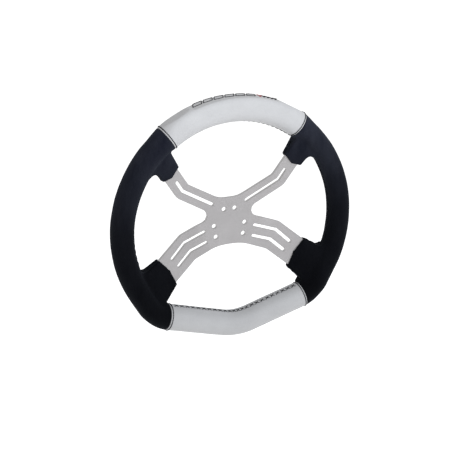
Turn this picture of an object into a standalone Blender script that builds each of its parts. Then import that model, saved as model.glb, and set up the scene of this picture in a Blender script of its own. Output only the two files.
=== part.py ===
"""Kart steering wheel: a flat-bottomed padded rim on a four-arm aluminium spoke plate.

Metres, +Z up through the top of the rim, +X to the right as the driver sees it, +Y away from
the driver. The origin is the centre of the hub bolt pattern on the plate's rear face.
"""

import math

import bmesh
import bpy
from mathutils import Matrix, Vector

MM = 0.001

# Rim centreline: a circle, a straight run down each side, a round corner and a shallow V below.
RIM_RADIUS = 145.7 * MM
RIM_CENTRE_Z = 3.0 * MM
RIM_Y = -18.8 * MM
SIDE_TANGENT = math.radians(-29.8)
CORNER_RADIUS = 38.0 * MM
BOTTOM_DROP = 133.9 * MM
BOTTOM_SLOPE = math.radians(15.5)
BOTTOM_KINK_RADIUS = 73.0 * MM

# Padded section, half sizes: radial and along Y.
TOP_SECTION = (16.6 * MM, 15.8 * MM)
GRIP_SECTION = (14.3 * MM, 16.6 * MM)
BOTTOM_SECTION = (16.3 * MM, 17.4 * MM)
SECTION_BLEND = 20.0 * MM
SECTION_SIDES = 16
STATION_STEP = 15.0 * MM
CORE_STEP = 12.0 * MM
TOP_JOINT = math.radians(53.6)
BOTTOM_JOINT = math.radians(-49.2)
TOP_FLAT_HALF_ANGLE = math.radians(20.5)
TOP_FLAT_RISE = 15.0 * MM

# Covers and what closes them.
COVER_THICKNESS = 1.2 * MM
GAP = 0.3 * MM
FOAM_INSET = COVER_THICKNESS + GAP
SEAM_WIDTH = 1.4 * MM
THREAD_RADIUS = 0.35 * MM
STITCH_RADIUS = 0.25 * MM
STITCH_SETBACK = 2.2 * MM
STITCH_POINTS = 24
LACING_SETBACK = 2.0 * MM
MOTIF_HALF_ANGLE = math.radians(18.0)
MOTIF_WIDTH = 12.0 * MM
MOTIF_THICKNESS = 0.4 * MM
MOTIF_STEPS = 10

# Spoke plate.
PLATE_THICKNESS = 4.0 * MM
EDGE_BREAK = 0.3 * MM
HUB_HOLE_RADIUS = 3.1 * MM
HUB_HOLE_SIDES = 14
HUB_HOLES = ((7.3 * MM, 18.4 * MM), (20.8 * MM, -2.0 * MM), (18.6 * MM, -16.4 * MM))
SLOT_WIDTH = 4.2 * MM
SLOT_END_STEPS = 5
CORNER_STEPS = 4
ARM_TIP_RADIUS = 3.0 * MM
SLOT_PATHS = (
    ((72.0, 62.6), (64.0, 50.4), (23.0, 26.8)),
    ((80.4, -33.6), (62.8, -16.8), (34.5, -7.8)),
    ((71.8, -44.0), (54.7, -28.5), (32.2, -21.6)),
)
UPPER_RISE = math.radians(40.0)
LOWER_RISE = math.radians(-33.0)
ARM_SPLIT_Z = 12.0 * MM
BEND_START = 37.0 * MM
BEND_HALF = 3.0 * MM
DISH_SLOPE = math.tan(math.radians(8.7))

# Arms beyond their kinks, in millimetres: a point on the middle line, the direction, the width,
# the length, and where the left and right edges turn.
UPPER_ARM = {"kink": (64.0, 50.0), "angle": 56.0, "width": 21.0, "reach": 56.0, "turns": (2.2, -2.0)}
LOWER_ARM = {"kink": (58.5, -23.5), "angle": -40.3, "width": 38.0, "reach": 70.0, "turns": (-4.0, 3.1)}

# Core, tabs and rivets.
CORE_RADIUS = 6.0 * MM
TAB_THICKNESS = 2.0 * MM
RIVET_RADIUS = 2.0 * MM
RIVET_HEAD_RADIUS = 3.6 * MM
RIVET_HEAD_HEIGHT = 0.9 * MM
RIVET_HOLE_RADIUS = 2.8 * MM
RIVET_HOLE_SIDES = 8
RIVET_SIDES = 12
TAB_CORNER_RADIUS = 2.5 * MM
TAB_CORNER_STEPS = 3
TUNNEL_SIDES = 8
UPPER_FIXING = {"tab_width": 15.0, "tab": (38.5, 60.0), "rivets": ((42.8, 0.0), (50.8, 0.0))}
LOWER_FIXING = {"tab_width": 30.0, "tab": (52.0, 74.0), "rivets": ((62.0, -9.0), (62.0, 9.0))}

# Shoulders: the padding round each arm's end.
SHOULDER_HALF = 5.5 * MM
SHOULDER_FLARE = 0.19
SHOULDER_FLARE_START = 107.0 * MM

# How far cutters run past what they cut.
CUTTER_OVERLAP = 4.0 * MM
SEAM_CUT_DEPTH = 3.0 * MM
ARM_POCKET_START = 18.0
TAB_POCKET_OVERRUN = 7.0


def clear_scene():
    for obj in list(bpy.data.objects):
        bpy.data.objects.remove(obj)


def new_collection(name):
    collection = bpy.data.collections.new(name)
    bpy.context.scene.collection.children.link(collection)
    return collection


def material(name, colour, roughness, metallic=0.0):
    made = bpy.data.materials.new(name)
    made.use_nodes = True
    shader = made.node_tree.nodes["Principled BSDF"]
    shader.inputs["Base Color"].default_value = (*colour, 1.0)
    shader.inputs["Roughness"].default_value = roughness
    shader.inputs["Metallic"].default_value = metallic
    made.diffuse_color = (*colour, 1.0)
    return made


# ---- outlines in the plane of the wheel: lists of (x, z) ----


def arc(centre, radius, start, end, steps):
    angles = [start + (end - start) * i / steps for i in range(steps + 1)]
    return [(centre[0] + radius * math.cos(a), centre[1] + radius * math.sin(a)) for a in angles]


def hole(centre, radius, sides):
    return arc(centre, radius, 0.0, 2 * math.pi, sides)[:-1]


def rounded(corners, steps=CORNER_STEPS):
    """A closed outline through the corners (x, z, radius), each rounded by its radius."""
    outline = []
    count = len(corners)
    for i, (x, z, radius) in enumerate(corners):
        here = Vector((x, z))
        back = (Vector(corners[i - 1][:2]) - here).normalized()
        ahead = (Vector(corners[(i + 1) % count][:2]) - here).normalized()
        if radius <= 0:
            outline.append((x, z))
            continue
        half = back.angle(ahead) / 2
        centre = here + (back + ahead).normalized() * radius / math.sin(half)
        first = here + back * radius / math.tan(half) - centre
        last = here + ahead * radius / math.tan(half) - centre
        turn = -first.angle_signed(last)
        start = math.atan2(first.y, first.x)
        outline += arc(centre, radius, start, start + turn, steps)
    return outline


def offset(outline, distance):
    """The outline moved by a distance to its left, so inwards when it runs anticlockwise."""
    moved = []
    count = len(outline)
    for i, point in enumerate(outline):
        here = Vector(point)
        before = (here - Vector(outline[i - 1])).normalized()
        after = (Vector(outline[(i + 1) % count]) - here).normalized()
        left = Vector((-before.y - after.y, before.x + after.x)).normalized()
        share = left.dot(Vector((-after.y, after.x)))
        moved.append(tuple(here + left * distance / share))
    return moved


def anticlockwise(outline):
    area = sum(a[0] * b[1] - b[0] * a[1] for a, b in zip(outline, outline[1:] + outline[:1]))
    return outline if area > 0 else outline[::-1]


def mirrored(outline):
    return [(-x, z) for x, z in outline]


def slot_outline(path, width):
    """A slot of constant width along a bent path, with round ends."""
    points = [Vector(p) * MM for p in path]
    first = (points[1] - points[0]).normalized()
    second = (points[2] - points[1]).normalized()
    left_first = Vector((-first.y, first.x))
    left_second = Vector((-second.y, second.x))
    miter = (left_first + left_second).normalized()
    miter_length = width / 2 / miter.dot(left_first)
    start = math.atan2(left_first.y, left_first.x)
    end = math.atan2(left_second.y, left_second.x)
    return (
        arc(points[0], width / 2, start, start + math.pi, SLOT_END_STEPS)
        + [tuple(points[1] - miter * miter_length)]
        + arc(points[2], width / 2, end - math.pi, end, SLOT_END_STEPS)
        + [tuple(points[1] + miter * miter_length)]
    )


def on_arm(arm, along, across=0.0):
    """A point of an arm, from its distance beyond the kink and its distance to the left."""
    angle = math.radians(arm["angle"])
    x = arm["kink"][0] + along * math.cos(angle) - across * math.sin(angle)
    z = arm["kink"][1] + along * math.sin(angle) + across * math.cos(angle)
    return (x * MM, z * MM)


def arm_strip(arm, start, end, width):
    """A straight strip of an arm, between two distances beyond the kink."""
    return [
        on_arm(arm, start, -width / 2),
        on_arm(arm, end, -width / 2),
        on_arm(arm, end, width / 2),
        on_arm(arm, start, width / 2),
    ]


def arm_corners(arm, left_radius, right_radius):
    """An arm's four corners (x, z, radius), from the turn of its left edge to that of its right."""
    half = arm["width"] / 2
    return [
        (*on_arm(arm, arm["turns"][0], half), left_radius),
        (*on_arm(arm, arm["reach"], half), ARM_TIP_RADIUS),
        (*on_arm(arm, arm["reach"], -half), ARM_TIP_RADIUS),
        (*on_arm(arm, arm["turns"][1], -half), right_radius),
    ]


def plate_half_outline():
    """The right half of the plate's edge, from the top centre round to the bottom centre."""
    top = [(0.0, 33.3 * MM, 0), (13.3 * MM, 33.3 * MM, 30 * MM)]
    crotch = [(17.5 * MM, 10.8 * MM, 9 * MM)]
    bottom = [(16.0 * MM, -28.3 * MM, 60 * MM), (0.0, -27.9 * MM, 0)]
    upper = arm_corners(UPPER_ARM, 10 * MM, 16 * MM)
    lower = arm_corners(LOWER_ARM, 14 * MM, 16 * MM)
    return rounded(top + upper + crotch + lower + bottom)


def upper_shoulder():
    """Outline of the right upper shoulder: an obtuse point to the hub, a fillet into the grip."""
    edge = [(80.8, 100.0), (70.6, 83.1), (79.8, 70.5), (91.4, 67.1)]
    fillet = [(96.8, 74.6), (98.8, 76.8), (101.4, 78.0), (104.6, 78.1), (107.8, 77.0), (110.0, 75.6)]
    inside = [(122.4, 70.9), (104.0, 96.7), (86.5, 110.5)]
    return anticlockwise([(x * MM, z * MM) for x, z in edge + fillet + inside])


def lower_shoulder():
    """Outline of the right lower shoulder."""
    edge = [(93.6, -84.0), (75.8, -66.3), (84.5, -47.2), (99.5, -31.5)]
    fillet = [(113.5, -40.0), (116.0, -41.5), (119.0, -42.4), (122.0, -42.2), (124.5, -40.8)]
    inside = [(130.0, -46.0), (121.2, -67.0), (108.0, -90.0), (98.0, -96.0)]
    return anticlockwise([(x * MM, z * MM) for x, z in edge + fillet + inside])


# ---- the rim's centreline and section ----


def line_and_arcs():
    """Lengths and corner points of the right half of the centreline, from the top down."""
    tangent = Vector((math.cos(SIDE_TANGENT), math.sin(SIDE_TANGENT))) * RIM_RADIUS
    side = Vector((math.sin(SIDE_TANGENT), -math.cos(SIDE_TANGENT)))
    bottom = Vector((-math.cos(BOTTOM_SLOPE), -math.sin(BOTTOM_SLOPE)))
    kink = Vector((0.0, -BOTTOM_DROP))
    cross = side.x * bottom.y - side.y * bottom.x
    to_kink = kink - tangent
    run = (to_kink.x * bottom.y - to_kink.y * bottom.x) / cross
    corner = tangent + side * run
    corner_turn = side.angle(bottom)
    corner_cut = CORNER_RADIUS * math.tan(corner_turn / 2)
    kink_cut = BOTTOM_KINK_RADIUS * math.tan(BOTTOM_SLOPE)
    return {
        "circle": RIM_RADIUS * (math.pi / 2 - SIDE_TANGENT),
        "side": run - corner_cut,
        "corner": CORNER_RADIUS * corner_turn,
        "bottom": (kink - corner).length - corner_cut - kink_cut,
        "kink": BOTTOM_KINK_RADIUS * BOTTOM_SLOPE,
        "tangent": tangent,
        "side_way": side,
        "bottom_way": bottom,
    }


LINE = line_and_arcs()
HALF_LENGTH = LINE["circle"] + LINE["side"] + LINE["corner"] + LINE["bottom"] + LINE["kink"]


def turn_right(point, way, radius, length):
    """Follows an arc that bends to the right, from a point and a direction."""
    side = Vector((way.y, -way.x))
    angle = -length / radius
    centre = point + side * radius
    spin = Matrix.Rotation(angle, 2)
    return centre + spin @ (point - centre), spin @ way


def wrapped(distance):
    """The same place on the closed centreline, as a distance to the right (+) or left of the top."""
    return (distance + HALF_LENGTH) % (2 * HALF_LENGTH) - HALF_LENGTH


def station(distance):
    """The centreline at a distance from the top: its point and outward direction, as (x, z)."""
    distance = wrapped(distance)
    left = distance < 0
    rest = abs(distance)
    if rest <= LINE["circle"]:
        angle = math.pi / 2 - rest / RIM_RADIUS
        point = Vector((math.cos(angle), math.sin(angle))) * RIM_RADIUS
        way = Vector((math.sin(angle), -math.cos(angle)))
    else:
        point, way = LINE["tangent"], LINE["side_way"]
        rest -= LINE["circle"]
        step = min(rest, LINE["side"])
        point = point + way * step
        rest -= step
        step = min(rest, LINE["corner"])
        point, way = turn_right(point, way, CORNER_RADIUS, step)
        rest -= step
        step = min(rest, LINE["bottom"])
        point = point + way * step
        rest -= step
        if rest > 0:
            point, way = turn_right(point, way, BOTTOM_KINK_RADIUS, rest)
    outward = Vector((-way.y, way.x))
    if left:
        point = Vector((-point.x, point.y))
        outward = Vector((-outward.x, outward.y))
    return Vector((point.x, point.y + RIM_CENTRE_Z)), outward


def distance_at(angle):
    """Distance from the top to where the right half crosses a ray from the rim's centre."""
    low, high = 0.0, HALF_LENGTH
    for _ in range(40):
        middle = (low + high) / 2
        point, _ = station(middle)
        if math.atan2(point.y - RIM_CENTRE_Z, point.x) > angle:
            low = middle
        else:
            high = middle
    return low


TOP_END = distance_at(TOP_JOINT)
BOTTOM_END = distance_at(BOTTOM_JOINT)


def blend(value, start, end):
    share = min(1.0, max(0.0, (value - start) / (end - start)))
    return share * share * (3 - 2 * share)


def half_sizes(distance):
    """The padded section's half sizes, which change near the joints."""
    away = abs(wrapped(distance))
    to_grip = blend(away, TOP_END - SECTION_BLEND / 4, TOP_END + SECTION_BLEND)
    to_bottom = blend(away, BOTTOM_END - SECTION_BLEND, BOTTOM_END + SECTION_BLEND / 4)
    sizes = []
    for top, grip, bottom in zip(TOP_SECTION, GRIP_SECTION, BOTTOM_SECTION):
        size = top + (grip - top) * to_grip
        sizes.append(size + (bottom - size) * to_bottom)
    return sizes


def section_ring(distance, inset):
    """The section's points in space at one station, with a flat crown at the top of the rim."""
    centre, outward = station(distance)
    radial, axial = half_sizes(distance)
    crown = abs(wrapped(distance)) / RIM_RADIUS < TOP_FLAT_HALF_ANGLE
    ring = []
    for i in range(SECTION_SIDES):
        angle = 2 * math.pi * i / SECTION_SIDES
        out = (radial - inset) * math.cos(angle)
        if crown:
            out = min(out, TOP_FLAT_RISE - inset)
        point = centre + outward * out
        ring.append((point.x, RIM_Y + (axial - inset) * math.sin(angle), point.y))
    return ring


def spread(start, end, step):
    count = max(1, round((end - start) / step))
    return [start + (end - start) * i / count for i in range(count + 1)]


def shared_stations():
    """The stations that every padded piece has in common, so that their facets lie side by side."""
    once = spread(-HALF_LENGTH, HALF_LENGTH, STATION_STEP)[:-1]
    return once + [distance + 2 * HALF_LENGTH for distance in once]


def stations_between(start, end):
    """A start, an end, and the shared stations that lie clear of both."""
    clear = STATION_STEP / 5
    between = [d for d in shared_stations() if start + clear < d < end - clear]
    return [start] + between + [end]


# ---- solids ----


def mesh_object(name, mesh, collection):
    obj = bpy.data.objects.new(name, mesh)
    collection.objects.link(obj)
    return obj


def loft(name, rings, closed, collection):
    """A solid through unlike sections that have the same number of points."""
    built = bmesh.new()
    rows = [[built.verts.new(point) for point in ring] for ring in rings]
    pairs = list(zip(rows, rows[1:] + rows[:1])) if closed else list(zip(rows, rows[1:]))
    sides = len(rings[0])
    for row, following in pairs:
        for i in range(sides):
            j = (i + 1) % sides
            built.faces.new((row[i], row[j], following[j], following[i]))
    if not closed:
        built.faces.new(rows[0][::-1])
        built.faces.new(rows[-1])
    bmesh.ops.recalc_face_normals(built, faces=built.faces)
    mesh = bpy.data.meshes.new(name)
    built.to_mesh(mesh)
    built.free()
    return mesh_object(name, mesh, collection)


def rim_length(name, start, end, inset, collection):
    rings = [section_ring(d, inset) for d in stations_between(start, end)]
    return loft(name, rings, False, collection)


def rim_whole(name, inset, collection):
    count = len(shared_stations()) // 2
    rings = [section_ring(d, inset) for d in shared_stations()[:count]]
    return loft(name, rings, True, collection)


def curve_mesh(name, curve, collection):
    """Turns a curve into a closed mesh and removes the curve object."""
    guide = bpy.data.objects.new(name + "_guide", curve)
    guide.rotation_euler.x = math.pi / 2 if curve.dimensions == "2D" else 0.0
    bpy.context.scene.collection.objects.link(guide)
    bpy.context.view_layer.update()
    graph = bpy.context.evaluated_depsgraph_get()
    mesh = bpy.data.meshes.new_from_object(guide.evaluated_get(graph))
    mesh.transform(guide.matrix_world)
    bpy.data.objects.remove(guide)
    mesh.name = name
    built = bmesh.new()
    built.from_mesh(mesh)
    bmesh.ops.remove_doubles(built, verts=built.verts, dist=1e-6)
    bmesh.ops.recalc_face_normals(built, faces=built.faces)
    built.to_mesh(mesh)
    built.free()
    return mesh_object(name, mesh, collection)


def flat_curve(name, outlines, thickness, edge_break=0.0):
    """A flat piece in the plane of the wheel, with its middle plane at Y = 0."""
    curve = bpy.data.curves.new(name, "CURVE")
    curve.dimensions = "2D"
    curve.fill_mode = "BOTH"
    curve.extrude = thickness / 2 - edge_break
    curve.bevel_depth = edge_break
    curve.bevel_resolution = 0
    curve.offset = -edge_break
    for outline in outlines:
        spline = curve.splines.new("POLY")
        spline.points.add(len(outline) - 1)
        for point, (x, z) in zip(spline.points, outline):
            point.co = (x, z, 0.0, 1.0)
        spline.use_cyclic_u = True
    return curve


def cord_curve(name, points, radius, closed, resolution=0):
    curve = bpy.data.curves.new(name, "CURVE")
    curve.dimensions = "3D"
    curve.bevel_depth = radius
    curve.bevel_resolution = resolution
    curve.use_fill_caps = True
    spline = curve.splines.new("POLY")
    spline.points.add(len(points) - 1)
    for point, place in zip(spline.points, points):
        point.co = (*place, 1.0)
    spline.use_cyclic_u = closed
    return curve


def shift(obj, y):
    obj.data.transform(Matrix.Translation((0.0, y, 0.0)))


def bend_distance(x, z):
    rise = UPPER_RISE if z > ARM_SPLIT_Z else LOWER_RISE
    return abs(x) * math.cos(rise) + z * math.sin(rise)


def dish(x, z):
    """How far an arm has come toward the driver at a point: flat, a short bend, then a slope."""
    beyond = bend_distance(x, z) - BEND_START
    if beyond <= -BEND_HALF:
        return 0.0
    if beyond < BEND_HALF:
        return -DISH_SLOPE * (beyond + BEND_HALF) ** 2 / (4 * BEND_HALF)
    return -DISH_SLOPE * beyond


def follow_arms(obj):
    for vertex in obj.data.vertices:
        vertex.co.y += dish(vertex.co.x, vertex.co.z)


def boolean(obj, operation, other):
    modifier = obj.modifiers.new(operation.title(), "BOOLEAN")
    modifier.operation = operation
    modifier.solver = "EXACT"
    modifier.object = other


def settle(obj):
    """Replaces an object's mesh by its evaluated mesh, and drops its modifiers."""
    bpy.context.view_layer.update()
    graph = bpy.context.evaluated_depsgraph_get()
    mesh = bpy.data.meshes.new_from_object(obj.evaluated_get(graph))
    obj.modifiers.clear()
    obj.data = mesh


def as_cutter(obj):
    obj.hide_render = True
    obj.display_type = "WIRE"
    return obj


def finish(obj, look, smooth=True):
    obj.data.materials.clear()
    obj.data.materials.append(look)
    if smooth:
        obj.data.shade_smooth()
        obj.data.set_sharp_from_angle(angle=math.radians(35))


# ---- the pieces ----


def on_one_arm(face, rise, side):
    """Whether a face reaches into the arm that rises at this angle on this side."""
    rises_up = rise == UPPER_RISE
    return any(v.co.x * side > 0 and (v.co.z > ARM_SPLIT_Z) == rises_up for v in face.verts)


def bend_line(built, place, way, rise, side):
    """Cuts the faces of one arm along a line across it, so that the plate can bend there."""
    near = [face for face in built.faces if on_one_arm(face, rise, side)]
    edges = {edge for face in near for edge in face.edges}
    vertices = {vertex for edge in edges for vertex in edge.verts}
    geometry = near + list(edges) + list(vertices)
    bmesh.ops.bisect_plane(built, geom=geometry, dist=1e-7, plane_co=place, plane_no=way)


def spoke_plate(parts, look):
    right = plate_half_outline()
    outlines = [right + mirrored(right[::-1])[1:-1]]
    for path in SLOT_PATHS:
        slot = slot_outline(path, SLOT_WIDTH)
        outlines += [slot, mirrored(slot)]
    for x, z in HUB_HOLES:
        outlines += [hole((side * x, z), HUB_HOLE_RADIUS, HUB_HOLE_SIDES) for side in (1, -1)]
    for arm, fixing in ((UPPER_ARM, UPPER_FIXING), (LOWER_ARM, LOWER_FIXING)):
        for along, across in fixing["rivets"]:
            x, z = on_arm(arm, along, across)
            outlines += [hole((side * x, z), RIVET_HOLE_RADIUS, RIVET_HOLE_SIDES) for side in (1, -1)]
    curve = flat_curve("spoke_plate", outlines, PLATE_THICKNESS, EDGE_BREAK)
    plate = curve_mesh("spoke_plate", curve, parts)
    shift(plate, -PLATE_THICKNESS / 2)
    built = bmesh.new()
    built.from_mesh(plate.data)
    bmesh.ops.dissolve_limit(built, angle_limit=math.radians(1), verts=built.verts, edges=built.edges)
    for rise in (UPPER_RISE, LOWER_RISE):
        for side in (1, -1):
            way = Vector((side * math.cos(rise), 0.0, math.sin(rise)))
            for line in (BEND_START - BEND_HALF, BEND_START, BEND_START + BEND_HALF):
                bend_line(built, way * line, way, rise, side)
    built.to_mesh(plate.data)
    built.free()
    follow_arms(plate)
    finish(plate, look)


def core_ring(parts, look):
    points = []
    for distance in spread(-HALF_LENGTH, HALF_LENGTH, CORE_STEP)[:-1]:
        point, _ = station(distance)
        points.append((point.x, RIM_Y, point.y))
    ring = curve_mesh("rim_core_ring", cord_curve("rim_core_ring", points, CORE_RADIUS, True, 1), parts)
    finish(ring, look)


def arm_sides():
    """Every arm with its name, its sizes, its fixing and its side."""
    for row, arm, fixing in (("upper", UPPER_ARM, UPPER_FIXING), ("lower", LOWER_ARM, LOWER_FIXING)):
        for hand, side in (("right", 1), ("left", -1)):
            yield f"{row}_{hand}", arm, fixing, side


def core_tab(name, arm, fixing, side, parts, look):
    start, end = fixing["tab"]
    width = fixing["tab_width"]
    corners = [(*point, TAB_CORNER_RADIUS) for point in arm_strip(arm, start, end, width)]
    outlines = [rounded(corners, TAB_CORNER_STEPS)]
    for along, across in fixing["rivets"]:
        outlines.append(hole(on_arm(arm, along, across), RIVET_HOLE_RADIUS, RIVET_HOLE_SIDES))
    if side < 0:
        outlines = [mirrored(outline) for outline in outlines]
    tab = curve_mesh(f"core_tab_{name}", flat_curve("tab", outlines, TAB_THICKNESS), parts)
    shift(tab, GAP + TAB_THICKNESS / 2)
    follow_arms(tab)
    finish(tab, look)


def rivet_mesh():
    """A round-headed rivet along Z, with its middle at the plate's rear face."""
    grip_front = -PLATE_THICKNESS - GAP
    grip_back = 2 * GAP + TAB_THICKNESS
    profile = (
        (0.0, grip_back + RIVET_HEAD_HEIGHT),
        (RIVET_HEAD_RADIUS * 0.7, grip_back + RIVET_HEAD_HEIGHT * 0.75),
        (RIVET_HEAD_RADIUS, grip_back),
        (RIVET_RADIUS, grip_back),
        (RIVET_RADIUS, grip_front),
        (RIVET_HEAD_RADIUS, grip_front),
        (RIVET_HEAD_RADIUS * 0.7, grip_front - RIVET_HEAD_HEIGHT * 0.75),
        (0.0, grip_front - RIVET_HEAD_HEIGHT),
    )
    points = [(x, 0.0, z) for x, z in profile]
    edges = [(i, i + 1) for i in range(len(profile) - 1)]
    mesh = bpy.data.meshes.new("rivet")
    mesh.from_pydata(points, edges, [])
    return mesh


def arm_tilt(rise, side):
    """Turns +Z to the normal of a dished arm, pointing away from the driver."""
    normal = Vector((side * DISH_SLOPE * math.cos(rise), 1.0, DISH_SLOPE * math.sin(rise)))
    return normal.to_track_quat("Z", "Y")


def place_on_arm(obj, arm, along, across, side):
    x, z = on_arm(arm, along, across)
    rise = UPPER_RISE if arm is UPPER_ARM else LOWER_RISE
    obj.location = (side * x, dish(x, z), z)
    obj.rotation_mode = "QUATERNION"
    obj.rotation_quaternion = arm_tilt(rise, side)


def rivets(name, arm, fixing, side, shape, parts, look):
    for number, (along, across) in enumerate(fixing["rivets"], 1):
        rivet = mesh_object(f"rivet_{name}_{number}", shape.copy(), parts)
        screw = rivet.modifiers.new("Turn", "SCREW")
        screw.steps = RIVET_SIDES
        screw.render_steps = RIVET_SIDES
        screw.use_merge_vertices = True
        screw.merge_threshold = 0.00001
        screw.use_smooth_shade = True
        place_on_arm(rivet, arm, along, across, side)
        rivet.data.materials.append(look)


def shoulder(name, outline, inset, side, cutters):
    """The padding round an arm's end, which follows the arm and thickens toward the rim."""
    outline = offset(outline, inset)
    if side < 0:
        outline = mirrored(outline)
    slab = curve_mesh(name, flat_curve(name, [outline], 2 * MM), cutters)
    for vertex in slab.data.vertices:
        reach = math.hypot(vertex.co.x, vertex.co.z)
        half = SHOULDER_HALF + SHOULDER_FLARE * (reach - SHOULDER_FLARE_START) - inset
        middle = -PLATE_THICKNESS / 2 + dish(vertex.co.x, vertex.co.z)
        vertex.co.y = middle + math.copysign(half, vertex.co.y)
    return as_cutter(slab)


def arm_pocket(name, arm, side, cutters):
    """The room that an arm takes in the padding, with a gap all round."""
    outline = arm_strip(arm, ARM_POCKET_START, arm["reach"] + GAP / MM, arm["width"] + 2 * GAP / MM)
    if side < 0:
        outline = mirrored(outline)
    pocket = curve_mesh(name, flat_curve(name, [outline], PLATE_THICKNESS + 2 * GAP), cutters)
    shift(pocket, -PLATE_THICKNESS / 2)
    follow_arms(pocket)
    return as_cutter(pocket)


def tab_pocket(name, arm, fixing, side, cutters):
    """The room for a tab, running on to the core ring's tunnel."""
    start, end = fixing["tab"]
    width = fixing["tab_width"] + 2 * GAP / MM
    outline = arm_strip(arm, start - GAP / MM, end + TAB_POCKET_OVERRUN, width)
    if side < 0:
        outline = mirrored(outline)
    depth = TAB_THICKNESS + 3 * GAP
    pocket = curve_mesh(name, flat_curve(name, [outline], depth), cutters)
    shift(pocket, -GAP + depth / 2)
    follow_arms(pocket)
    return as_cutter(pocket)


def rivet_pocket(name, arm, along, across, side, cutters):
    built = bmesh.new()
    depth = PLATE_THICKNESS + TAB_THICKNESS + 2 * RIVET_HEAD_HEIGHT + 5 * GAP
    radius = RIVET_HEAD_RADIUS + GAP
    middle = (TAB_THICKNESS - PLATE_THICKNESS + GAP) / 2
    bmesh.ops.create_cone(
        built,
        cap_ends=True,
        segments=RIVET_SIDES,
        radius1=radius,
        radius2=radius,
        depth=depth,
        matrix=Matrix.Translation((0, 0, middle)),
    )
    mesh = bpy.data.meshes.new(name)
    built.to_mesh(mesh)
    built.free()
    pocket = mesh_object(name, mesh, cutters)
    place_on_arm(pocket, arm, along, across, side)
    return as_cutter(pocket)


def tunnel(cutters):
    rings = []
    radius = (CORE_RADIUS + GAP) / math.cos(math.pi / TUNNEL_SIDES)
    for distance in spread(-HALF_LENGTH, HALF_LENGTH, STATION_STEP)[:-1]:
        centre, outward = station(distance)
        ring = []
        for i in range(TUNNEL_SIDES):
            angle = 2 * math.pi * (i + 0.5) / TUNNEL_SIDES
            point = centre + outward * radius * math.cos(angle)
            ring.append((point.x, RIM_Y + radius * math.sin(angle), point.y))
        rings.append(ring)
    return as_cutter(loft("core_tunnel", rings, True, cutters))


def shoulder_outlines():
    return {"upper": upper_shoulder(), "lower": lower_shoulder()}


def rim_foam(parts, cutters, look):
    foam = rim_whole("rim_foam", FOAM_INSET, parts)
    for name, _, _, side in arm_sides():
        outline = shoulder_outlines()[name.split("_")[0]]
        inside = shoulder(f"foam_shoulder_{name}", outline, FOAM_INSET, side, cutters)
        boolean(foam, "UNION", inside)
    boolean(foam, "DIFFERENCE", tunnel(cutters))
    for name, arm, fixing, side in arm_sides():
        boolean(foam, "DIFFERENCE", arm_pocket(f"foam_arm_pocket_{name}", arm, side, cutters))
        boolean(foam, "DIFFERENCE", tab_pocket(f"tab_pocket_{name}", arm, fixing, side, cutters))
        for number, (along, across) in enumerate(fixing["rivets"], 1):
            label = f"rivet_pocket_{name}_{number}"
            pocket = rivet_pocket(label, arm, along, across, side, cutters)
            boolean(foam, "DIFFERENCE", pocket)
    settle(foam)
    finish(foam, look)


def seam_cutter(name, start, end, cutters):
    """A thin slit along the inner side of the rim, where a cover's two edges meet."""
    rings = []
    for distance in stations_between(start, end):
        centre, outward = station(distance)
        radial, _ = half_sizes(distance)
        ring = []
        for depth, side in ((-1, -1), (-1, 1), (1, 1), (1, -1)):
            point = centre + outward * (depth * SEAM_CUT_DEPTH - radial)
            ring.append((point.x, RIM_Y + side * SEAM_WIDTH / 2, point.y))
        rings.append(ring)
    return as_cutter(loft(name, rings, False, cutters))


def cover(name, start, end, parts, cutters, look):
    """A skin round one length of the rim, open along the inner seam and at both ends."""
    skin = rim_length(name, start + GAP / 2, end - GAP / 2, 0.0, parts)
    start -= CUTTER_OVERLAP
    end += CUTTER_OVERLAP
    inside = rim_length(f"{name}_inside", start, end, COVER_THICKNESS, cutters)
    boolean(skin, "DIFFERENCE", as_cutter(inside))
    boolean(skin, "DIFFERENCE", seam_cutter(f"{name}_slit", start, end, cutters))
    settle(skin)
    finish(skin, look)


GRIP_SEAM = (distance_at(math.radians(25.5)), distance_at(math.radians(-12.0)))


def grip_cover(hand, side, parts, cutters, look):
    """The skin of one side: the grip and its two shoulders, open where the arms go in."""
    name = f"grip_cover_{hand}"
    start, end = sorted((side * (TOP_END + GAP / 2), side * (BOTTOM_END - GAP / 2)))
    skin = rim_length(name, start, end, 0.0, parts)
    start -= CUTTER_OVERLAP
    end += CUTTER_OVERLAP
    inside = as_cutter(rim_length(f"{name}_inside", start, end, COVER_THICKNESS, cutters))
    for row, outline in shoulder_outlines().items():
        boolean(skin, "UNION", shoulder(f"{name}_{row}_outside", outline, 0.0, side, cutters))
    boolean(skin, "DIFFERENCE", inside)
    for row, outline in shoulder_outlines().items():
        label = f"{name}_{row}_inside"
        boolean(skin, "DIFFERENCE", shoulder(label, outline, COVER_THICKNESS, side, cutters))
    for row, arm in (("upper", UPPER_ARM), ("lower", LOWER_ARM)):
        boolean(skin, "DIFFERENCE", arm_pocket(f"{name}_{row}_opening", arm, side, cutters))
    slit = sorted((side * GRIP_SEAM[0], side * GRIP_SEAM[1]))
    boolean(skin, "DIFFERENCE", seam_cutter(f"{name}_slit", slit[0], slit[1], cutters))
    settle(skin)
    finish(skin, look)


def lacing(name, start, end, parts, look):
    """The thread that closes a cover, lying in its slit."""
    points = []
    for distance in stations_between(start, end):
        centre, outward = station(distance)
        radial, _ = half_sizes(distance)
        point = centre - outward * (radial - COVER_THICKNESS / 2)
        points.append((point.x, RIM_Y, point.y))
    thread = curve_mesh(name, cord_curve(name, points, THREAD_RADIUS, False), parts)
    finish(thread, look)


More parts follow.
